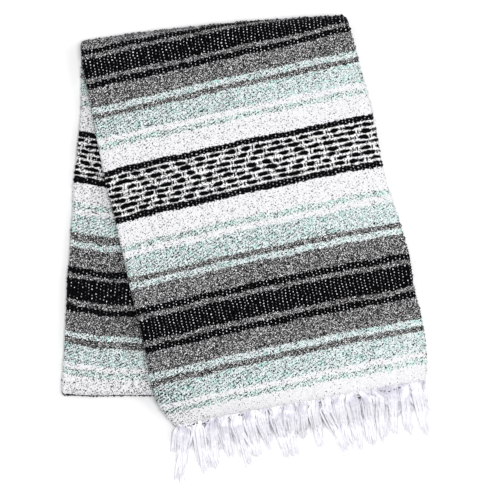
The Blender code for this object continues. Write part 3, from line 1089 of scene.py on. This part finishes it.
@dataclass(frozen=True)
class FringeYarn:
    """Loose white warp yarn: soft and matt, with painted lilac shade near the hem, where the roots lie
    in shadow.
    """

    name: str = "twisted_white_warp_yarn"
    light: str = "F9F8FD"
    shaded: str = "EEEDF5"
    # Painted shade: the lilac of the roots' shadow near the hem
    root: str = "CFCDD9"
    twist: float = 2.2
    packed: float = 0.65

    def make(self) -> bpy.types.Material:
        """Makes the material.

        Returns:
            The material.
        """
        material, wire, shader = wired(self.name, {
            "Roughness": 0.9, "Specular IOR Level": 0.1, "Sheen Weight": 0.2, "Sheen Roughness": 0.5,
        })
        tree = wire.tree
        place = add_node(tree, "TexCoord", {}).outputs["Object"]
        tint = wire.ranged(wire.noise(place, 220.0, 3.0)[0], 0.35, 0.7)
        base = wire.painted(tint, colour(self.light), self.shaded)
        wound = wire.uv("yarn")

        # Painted shade: lilac patches within 30 mm of the hem, where the roots lie in shadow
        near = wire.ranged(wire.parts(wound)[0], 0.006, 0.03, 1.0, 0.0)
        painted_root_shade_patch = wire.ranged(wire.noise(place, 75.0, 2.0)[0], 0.47, 0.64)
        base = wire.painted(wire.math("MULTIPLY", painted_root_shade_patch, near), base, self.root)
        tree.links.new(base, shader.inputs["Base Color"])
        wound = wire.vector("DOT_PRODUCT", wound, (1000 / self.twist, 1.0, 0.0))
        ply = wire.math("SINE", wire.math("MULTIPLY", wound, 2 * math.pi))

        # Yarns that pack flat against each other look less round than each one is
        facing = add_node(tree, "NewGeometry", {}).outputs
        facing = add_node(tree, "Mix", {0: self.packed, 4: facing["Normal"], 5: facing["True Normal"]},
                          data_type="VECTOR").outputs[1]
        links = {"Strength": 0.1, "Distance": 0.0003, "Height": ply, "Normal": facing}
        tree.links.new(add_node(tree, "Bump", links).outputs[0], shader.inputs["Normal"])
        return material


@dataclass
class Copies:
    """Many bent copies of one shape, which are joined in one piece.

    A face's -1 marks the missing corner of a triangle. The maps hold pairs of millimetres by name.
    """

    template: Points
    faces: Points
    points: list = field(default_factory=list)
    maps: dict = field(default_factory=dict)

    def add(self, points: Points, **maps) -> None:
        """Adds a copy.

        Args:
            points: Its points, in millimetres.
            maps: Its pairs for each UV map.
        """
        self.points.append(points)
        for name, pairs in maps.items():
            self.maps.setdefault(name, []).append(pairs)

    def join(self, name: str) -> bpy.types.Object:
        """Makes the piece.

        Args:
            name: The piece's name.

        Returns:
            The piece.
        """
        corners = np.concatenate([np.where(self.faces < 0, -1, self.faces + i * len(self.template))
                                  for i in range(len(self.points))])
        faces = [[corner for corner in face if corner >= 0] for face in corners.tolist()]
        piece = meshed(name, np.concatenate(self.points), faces)
        for label, pairs in self.maps.items():
            spread(piece, label, np.concatenate(pairs))
        return piece


@dataclass
class End:
    """One fringed end: for each layer its height in the flap and its yarns a tassel, and how high
    the yarns lie.
    """

    name: str
    node: str
    heights: tuple
    yarns: tuple
    lie: tuple
    seed: int


@dataclass
class Fringe:
    """Warp ends gathered in soft tassels along a hem, each layer of the pack with its own.

    Each tassel has its length and how many degrees it swings to the right. A range of two numbers
    is what chance draws from. "top" goes for the layer that shows and "lower" for those below it.
    """

    blanket: Blanket
    tassels: tuple = (
        (73, -8), (66, 12), (62, 10), (53, 12), (66, 18), (61, 12), (52, 15), (65, 16), (65, 9),
        (47, 5), (60, 14), (74, 21), (64, 15), (71, 12), (67, 6), (66, 9), (60, 5), (64, 9),
        (65, 14),
    )
    yarn: float = 0.42
    thick: float = 0.8
    uneven: tuple = (0.75, 1.3)
    taper: float = 0.5
    tip: float = 0.55
    flat: tuple = (2.9, 0.35)
    stations: tuple = (0.0, 0.045, 0.09, 0.14, 0.21, 0.31, 0.44, 0.6, 0.79, 1.0)
    knot: float = 9.0
    from_side: float = 8.0
    shorter: float = 3.0
    top_loose: float = 2.9
    top_sway: float = 3.0
    lower_loose: float = 4.6
    lower_sway: float = 5.0
    lower_shift: tuple = (-5, 5)
    lower_length: tuple = (0.42, 0.74)
    roots: tuple = (-8, 8)
    rooted: tuple = (0.8, 3.0)
    cut: tuple = (0.76, 1.04)
    fan: float = 0.05
    gather: float = 0.6
    outer_short: float = 0.035
    curl: tuple = (0.2, 1.6)
    wave: tuple = (7, 20)
    wave_grows: float = 25.0
    drop: tuple = (20, 30)
    emerge: tuple = (-0.2, 1.7)
    lowest: float = 0.6
    twined: tuple = (0.65, 1.05)
    twined_from: float = 60.0
    sag: tuple = (0.3, 3.6)

    def strand(self) -> tuple:
        """Models one straight yarn, a unit long and wide.

        Returns:
            Its points, with each one's station along the yarn as its height, and its faces.
        """
        bpy.ops.object.select_all(action="DESELECT")
        bpy.ops.mesh.primitive_circle_add(vertices=5, radius=1, fill_type="NGON")
        bpy.ops.object.mode_set(mode="EDIT")
        bpy.ops.mesh.select_all(action="SELECT")
        bpy.ops.mesh.flip_normals()
        for _ in self.stations[1:]:
            bpy.ops.mesh.extrude_region_move(TRANSFORM_OT_translate={"value": (0, 0, 1)})
        bpy.ops.transform.resize(value=(self.tip, self.tip, 1))
        face_out()
        return taken()

    def make(self, end: End) -> bpy.types.Object:
        """Makes the fringe of one end.

        Args:
            end: The end.

        Returns:
            The piece.
        """
        flaps = self.blanket.flaps
        draw = np.random.default_rng(end.seed)
        yarns = Copies(*self.strand())
        ring = np.clip(np.round(yarns.template[:, 2]).astype(int), 0, len(self.stations) - 1)
        station = np.array(self.stations)[ring]
        round_it = np.arctan2(yarns.template[:, 1], yarns.template[:, 0]) / (2 * math.pi) % 1
        pitch = self.blanket.tassel_pitch()
        places = self.blanket.roll + pitch * (np.arange(len(self.tassels)) + 0.5)

        def cover(line: Points, wide: Points, high: Points, along: Points) -> None:
            """Lays a yarn along a line, and maps where on it its points are.

            Args:
                line: Its middle line.
                wide: Half its width at each point.
                high: Half its height at each point.
                along: Each point's distance along it.
            """
            aside, up = (way[ring] for way in along_line(line))
            bent = line[ring] + yarns.template[:, :1] * wide * aside
            yarns.add(bent + yarns.template[:, 1:2] * high * up,
                      yarn=np.column_stack([along, round_it / MM]))

        for layer, (height, count) in enumerate(zip(end.heights, end.yarns)):
            for place, (length, swing) in zip(places, self.tassels):
                across = place + (draw.uniform(*self.lower_shift) if layer else 0.0)
                across = float(np.clip(across, self.from_side, flaps.width - self.from_side))
                turn = draw.normal(0, self.lower_sway if layer else self.top_sway)
                turn = math.radians(swing + turn)
                long = length - self.shorter
                long *= draw.uniform(*self.lower_length) if layer else 1.0
                loose = self.lower_loose if layer else self.top_loose
                for strand in range(count):
                    line = self.line(draw, end, (across, height, loose), turn, long)
                    thick = self.thick if strand < count / 4 else self.yarn
                    thick = thick * draw.uniform(*self.uneven)
                    thick = thick * (1 - self.taper * station[:, None] ** 3)
                    cover(line, thick * self.flat[0], thick * self.flat[1], station * long)
        for place in places[:-1]:
            line = self.cord(draw, place, pitch, end.heights[0])
            thick = draw.uniform(*self.twined)
            cover(line, thick, thick, self.twined_from + pitch * ring / ring.max())
        return yarns.join(end.name)

    def cord(self, draw: np.random.Generator, across: float, pitch: float, height: float) -> Points:
        """The middle line of the cord that is twined along the hem, from a tassel to the next.

        Args:
            draw: Where chance comes from.
            across: The first tassel's place along the hem.
            pitch: The distance to the next.
            height: The hem's height above the flap's underside.

        Returns:
            A point for each station.
        """
        flaps = self.blanket.flaps
        share = np.linspace(0, 1, len(self.stations))
        along = (across + pitch * share + draw.uniform(-1, 1)) / flaps.width
        plan = flaps.front_plan(along, 0 * along)
        beside = flaps.front_plan(along + 0.003, 0 * along)
        out = -quarter_turn(unit(beside - plan))
        sag = draw.uniform(*self.sag) * np.sin(math.pi * share) ** 0.8
        plan = plan + out * (sag - 0.2 + 0.3 * np.sin(9 * share))[:, None]
        return np.column_stack([plan, flaps.rest_height(plan) + height + 0.3 - 0.25 * sag])

    def line(self, draw: np.random.Generator, end: End, start: tuple, turn: float,
             long: float) -> Points:
        """The middle line of one yarn.

        It comes out of the hem, is gathered in its tassel's knot, and falls to the surface, where
        it lies in slow waves.

        Args:
            draw: Where chance comes from.
            end: The fringed end.
            start: The tassel's place along the hem, its height above the flap's underside, and how
                loosely it is gathered.
            turn: How far the tassel swings to the right of straight down.
            long: The yarn's length.

        Returns:
            A point for each station.
        """
        flaps = self.blanket.flaps
        across, height, loose = start
        share = np.array(self.stations)
        spots = np.array([across, across + 1.0, across + draw.uniform(*self.roots)])
        spots = np.clip(spots, 2, flaps.width - 1)
        middle, next_to_it, root = flaps.front_plan(spots / flaps.width, 0 * spots)
        out = -quarter_turn(unit(next_to_it - middle))
        base = float(flaps.rest_height(root[None])[0])
        fall = np.array([math.sin(turn), -math.cos(turn)])
        aside = np.array([math.cos(turn), math.sin(turn)])
        off = draw.normal(0, loose)
        knot = middle + out * self.knot + aside * off
        fan = draw.normal(0, self.fan) - self.gather * off / long
        run = share * long * draw.uniform(*self.cut) * (1 - self.outer_short * abs(off))
        past = np.clip(run - self.knot, 0, None)
        way = soft_step(run / self.knot)[:, None]
        plan = (root - out * draw.uniform(*self.rooted)) * (1 - way) + knot * way
        curl = draw.uniform(*self.curl)
        wave = np.sin(past / draw.uniform(*self.wave) + draw.uniform(0, 6.28)) * curl
        wave *= np.clip(past / self.wave_grows, 0, 1)
        plan = plan + np.outer(past, fall) + np.outer(past * fan + wave, aside)
        lie = draw.uniform(*end.lie)
        drop = soft_step(past / draw.uniform(*self.drop))
        rise = (base + height) * (1 - drop) + lie * drop + np.sin(past / 6 + fan * 90) * 0.3 * drop
        rise = rise + draw.uniform(*self.emerge) * (1 - drop)
        return np.column_stack([plan, np.maximum(rise, self.lowest)])


@dataclass(frozen=True)
class Spot:
    """A loop's place: where it roots, a place further in the cloth, and how it stands."""

    stage: Stage
    root: tuple
    inner: tuple
    proud: float
    upright: bool = False
    dark: bool = False


@dataclass
class Loops:
    """Weft that turns at the selvedges, picks that stand proud along the folds, and loose ends.

    The first and second layers' loops stand at the right side, and the roll's at the left. The
    loose ends are dark and lie along the front hem. A range of two numbers is what chance draws
    from, and "proud" is how far a loop stands out of the cloth.
    """

    blanket: Blanket
    ring: float = 1.25
    yarn: float = 0.72
    slack: tuple = (1.15, 1.0, 0.85)
    flap_runs: tuple = (435.0, 400.0)
    inwards: float = 4.0
    first_side: float = 0.4
    first_proud: tuple = (0.2, 2.1)
    second_side: float = 1.5
    second_proud: float = 0.6
    roll_side: float = 1.0
    roll_deep: tuple = (1.5, 4.5)
    roll_proud: tuple = (-0.2, 1.7)
    fold_runs: tuple = ((Stage.TOP_FOLD, (0.3, 0.62), 300), (Stage.BOTTOM_FOLD, (0.4, 0.62), 180))
    fold_proud: tuple = (-0.2, 1.1)
    loop_size: tuple = (0.75, 1.15)
    loop_sunk: float = 1.6
    loose_ends: int = 48
    loose_gather: float = 4.0
    loose_proud: tuple = (0.8, 3.6)
    loose_size: tuple = (0.4, 0.75)
    loose_sunk: float = 0.6
    loose_lift: float = 1.6
    loose_chart: float = 2.0
    lowest: float = 0.15
    seed: int = 5

    def loop(self) -> tuple:
        """Models one loop, half a ring of yarn that is open towards the cloth.

        Returns:
            Its points and its faces.
        """
        bpy.ops.object.select_all(action="DESELECT")
        bpy.ops.mesh.primitive_torus_add(major_segments=8, minor_segments=5,
                                         major_radius=self.ring, minor_radius=self.yarn)
        bpy.ops.object.mode_set(mode="EDIT")
        bpy.ops.mesh.select_all(action="SELECT")
        bpy.ops.mesh.bisect(plane_co=(-0.2, 0, 0), plane_no=(1, 0, 0), use_fill=True,
                            clear_inner=True)
        bpy.ops.mesh.select_all(action="SELECT")
        bpy.ops.transform.resize(value=self.slack)
        face_out()
        return taken()

    def selvedges(self, draw: np.random.Generator) -> list:
        """Chooses a loop's spot at each turn of the weft, on both selvedges and the roll.

        Args:
            draw: Where chance comes from.

        Returns:
            The spots.
        """
        top, wide, step = self.blanket.thick / 2, self.blanket.flaps.width, self.blanket.pick
        front, rear = self.flap_runs
        runs = ((Stage.FRONT_TOP, front), (Stage.REAR_UNDER, rear), (Stage.REAR_TOP, rear),
                (Stage.FRONT_UNDER, front))
        found = []
        for stage, long in runs:
            for share in (np.arange(int(long / step)) + 0.5) * step / long:
                share = float(share) + draw.uniform(-0.001, 0.001)
                deep = top + draw.uniform(*self.roll_deep)
                for across, below, inwards, proud in (
                    (wide - self.first_side, top, -self.inwards, draw.uniform(*self.first_proud)),
                    (wide - self.second_side, top + self.blanket.pitch, -self.inwards,
                     self.second_proud),
                    (self.roll_side, deep, self.inwards, draw.uniform(*self.roll_proud)),
                ):
                    found.append(Spot(stage, (share, across, below),
                                      (share, across + inwards, below), proud))
        return found

    def folds(self, draw: np.random.Generator) -> list:
        """Chooses spots along the top and bottom folds, and for dark ends along the hem.

        Args:
            draw: Where chance comes from.

        Returns:
            The spots.
        """
        wide, found = self.blanket.flaps.width, []
        for stage, shares, count in self.fold_runs:
            for _ in range(count):
                share, across = draw.uniform(*shares), draw.uniform(3, wide - 3)
                found.append(Spot(stage, (share, across, 0.0), (share, across, 2.0),
                                  draw.uniform(*self.fold_proud), upright=True))
        knots = draw.uniform(8, wide - 4, self.loose_ends // 3)
        for number in range(self.loose_ends):
            across = knots[number % len(knots)] + draw.normal(0, self.loose_gather)
            across = float(np.clip(across, 4, wide - 3))
            found.append(Spot(Stage.FRONT_TOP, (0.0, across, 0.6), (0.01, across, 0.6),
                              draw.uniform(*self.loose_proud), dark=True))
        return found

    def make(self, name: str) -> bpy.types.Object:
        """Makes all the loops as one piece.

        Args:
            name: The piece's name.

        Returns:
            The piece.
        """
        draw = np.random.default_rng(self.seed)
        flaps, length = self.blanket.flaps, self.blanket.length
        loops = Copies(*self.loop())
        for spot in [*self.selvedges(draw), *self.folds(draw)]:
            share, across = spot.root[:2]
            ends = [flaps.place(spot.stage, part[0], np.array([part[1]]), np.array([part[2]]))
                    for part in (spot.root, spot.inner)]
            here, inner = self.blanket.lie.settle(np.concatenate(ends))
            out = unit(here - inner)
            lean = draw.normal(size=3) if spot.upright else np.array([0.0, 0.0, 1.0])
            along = unit(np.cross(lean, out))
            size = draw.uniform(*(self.loose_size if spot.dark else self.loop_size))
            local = loops.template * size
            sunk = self.loose_sunk if spot.dark else self.loop_sunk
            place = here + out * (spot.proud - sunk * size)
            place[2] += self.loose_lift if spot.dark else 0.0
            moved = place + local[:, :1] * out + local[:, 1:2] * along
            moved = moved + local[:, 2:] * unit(np.cross(out, along))
            moved[:, 2] = np.maximum(moved[:, 2], self.lowest)
            run = flaps.run(spot.stage, share, np.array([across]), length)
            chart = self.blanket.chart.read(run, np.array([across]), length, flaps.width)[0]
            chart = self.loose_chart if spot.dark else chart
            loops.add(moved, cloth=np.array([across, run[0]]) + local[:, :2] * 0.5,
                      stripes=np.column_stack([chart + local[:, 1] * 0.3, 0 * local[:, 0]]))
        return loops.join(name)


def taken() -> tuple:
    """Reads the active piece's points and four-sided faces, and removes it.

    Returns:
        The points, and the faces with -1 for the missing corner of a triangle, sorted so that
        each run has them in the same order.
    """
    piece = bpy.context.object
    data = piece.data
    points = np.array([vertex.co for vertex in data.vertices])
    faces = []
    for polygon in data.polygons:
        corners = list(polygon.vertices)
        for i in range(1, len(corners) - 1, 2):
            faces.append([corners[0], *corners[i:i + 3]][:4])
    bpy.data.objects.remove(piece, do_unlink=True)
    bpy.data.meshes.remove(data)
    return points, np.array(sorted(face if len(face) == 4 else [*face, -1] for face in faces))


def along_line(line: Points) -> tuple:
    """Finds two ways aside from a line, at each of its points.

    Args:
        line: The line's points.

    Returns:
        The ways level with the ground, and the ways square to those and to the line.
    """
    way = unit(np.gradient(line, axis=0))
    aside = unit(np.cross(way, np.array([0.02, 0.03, 1.0])))
    return aside, np.cross(way, aside)


@dataclass
class Studio:
    """The camera straight above, a plain pale floor and soft light.

    Each lamp has its name, its place and its size in metres, and its power.
    """

    middle: tuple = (3.15, -2.1)
    frame: float = 583.5
    level: float = 24.0
    lens: float = 300.0
    sensor: float = 36.0
    lamps: tuple = (
        ("overhead", (0.28, 0.03, 3.4), 0.9, 52.5),
        ("key", (1.85, 0.2, 2.5), 1.8, 22.5),
        ("fill", (-1.6, 0.4, 2.6), 2.4, 8.5),
    )
    surround: tuple = (0.985, 0.985, 1.0, 1.0)
    glow: float = 0.5
    floor_size: float = 8.0

    def camera(self) -> None:
        """Adds the camera and makes it the scene's."""
        data = bpy.data.cameras.new("camera")
        data.lens, data.sensor_width, data.sensor_fit = self.lens, self.sensor, "HORIZONTAL"
        data.clip_start, data.clip_end = 0.1, 50.0
        camera = bpy.data.objects.new("camera", data)
        away = self.frame * self.lens / self.sensor + self.level
        camera.location = (self.middle[0] * MM, self.middle[1] * MM, away * MM)
        bpy.context.scene.collection.objects.link(camera)
        bpy.context.scene.camera = camera

    def light(self) -> None:
        """Adds a soft light overhead, wide ones beside it and an even pale surround."""
        for name, place, size, power in self.lamps:
            data = bpy.data.lights.new(name, "AREA")
            data.shape, data.size, data.energy = "DISK", size, power
            lamp = bpy.data.objects.new(name, data)
            lamp.location = place
            lamp.visible_camera = False
            lamp.rotation_euler = (-Vector(place)).to_track_quat("-Z", "Y").to_euler()
            bpy.context.scene.collection.objects.link(lamp)
        world = bpy.data.worlds.new("studio")
        bpy.context.scene.world = world
        world.use_nodes = True
        background = world.node_tree.nodes["Background"]
        background.inputs[0].default_value = self.surround
        background.inputs[1].default_value = self.glow

    def floor(self) -> None:
        """Adds the floor."""
        bpy.ops.object.select_all(action="DESELECT")
        bpy.ops.mesh.primitive_plane_add(size=self.floor_size)
        floor = bpy.context.object
        floor.name = "floor"
        paper = {"Base Color": colour("FFFFFF"), "Roughness": 0.9}
        floor.data.materials.append(wired("matt_white_paper", paper)[0])


def dress(piece: bpy.types.Object, material: bpy.types.Material,
          nodes: tuple) -> bpy.types.Object:
    """Dresses a piece and puts it on the root.

    Args:
        piece: The piece.
        material: Its material.
        nodes: The frame's nodes that it replaces.

    Returns:
        The piece.
    """
    piece.data.materials.append(material)
    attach(piece, "root")
    if nodes:
        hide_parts(*nodes)
    LOG.info("%s: %d faces", piece.name, len(piece.data.polygons))
    return piece


def main() -> None:
    """Builds the serape and its studio in order."""
    logging.basicConfig(level=logging.INFO, format="%(name)s: %(message)s")
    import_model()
    studio = Studio()
    studio.camera()
    studio.floor()
    studio.light()
    bpy.context.scene.view_settings.view_transform = "Standard"

    blanket = Blanket()
    weave, yarn = StripedWeave().make(), FringeYarn().make()
    top = blanket.outer_ribbon()
    outer = blanket.make("cloth_that_shows", top, blanket.rows(True), blanket.first_edge())
    dress(outer, weave, ("front_cloth", "rear_cloth"))
    under = blanket.inner_ribbon()
    start = blanket.first_edge() - top.measured()[-1]
    inner = blanket.make("hidden_layers", under, blanket.rows(False), start)
    dress(inner, weave, ("folded_layers",))

    fringe = Fringe(blanket)
    front = End("fringe_of_front_end", "fringe_front_end", heights=(15.1, 13.1, 11.1, 9.1),
                yarns=(44, 16, 12, 8), lie=(1.0, 2.2), seed=11)
    back = End("fringe_of_back_end", "fringe_back_end", heights=(6.9, 4.9, 2.9, 0.9),
               yarns=(18, 12, 8, 8), lie=(0.8, 2.6), seed=23)
    for end in (front, back):
        piece = fringe.make(end)
        dress(piece, yarn, (end.node,))
    loops = dress(Loops(blanket).make("weft_loops"), weave, ())

    float(top.measured()[-1]) * MM
    float(under.measured()[-1]) * MM


if __name__ == "__main__":
    main()
